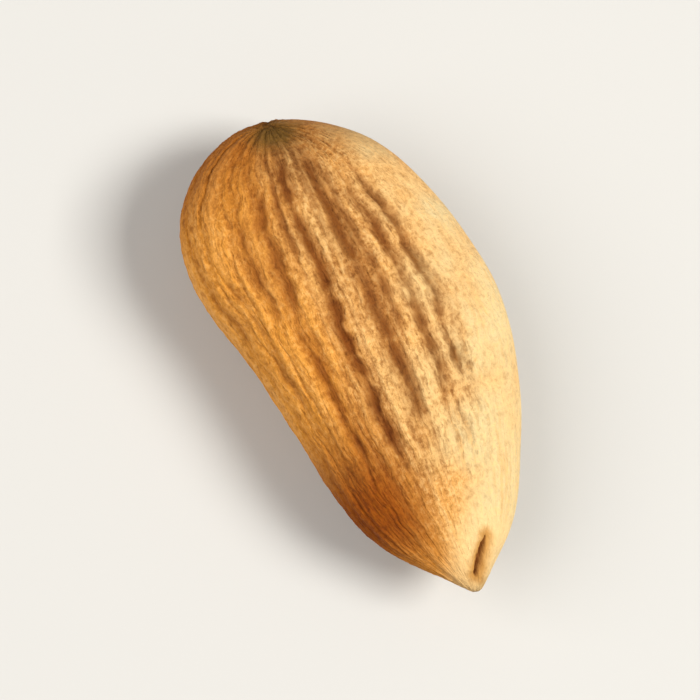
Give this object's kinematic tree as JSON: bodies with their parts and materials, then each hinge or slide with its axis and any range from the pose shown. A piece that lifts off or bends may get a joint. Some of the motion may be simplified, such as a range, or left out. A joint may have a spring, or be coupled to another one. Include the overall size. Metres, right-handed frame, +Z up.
{
  "type": "almond",
  "caption": "Whole shelled almond kernel in its furrowed brown skin: a flattened teardrop with a blunt broad end, a bowed margin and a pointed tip, lying on a small flat spot.",
  "frame": {"origin": "under the middle of the kernel's outline, on the surface that it lies on", "axes": "+X along the length towards the pointed tip, +Y towards the bowed margin, +Z up through the thickness"},
  "size_m": [0.024, 0.0128, 0.0078],
  "materials": {
    "almond_skin": "matt golden-tan seed skin with lengthwise furrows, darker in the furrows and paler on the ridges and at the tip"
  },
  "bodies": {
    "root": {"kernel": "almond_skin"}
  },
  "joints": []
}
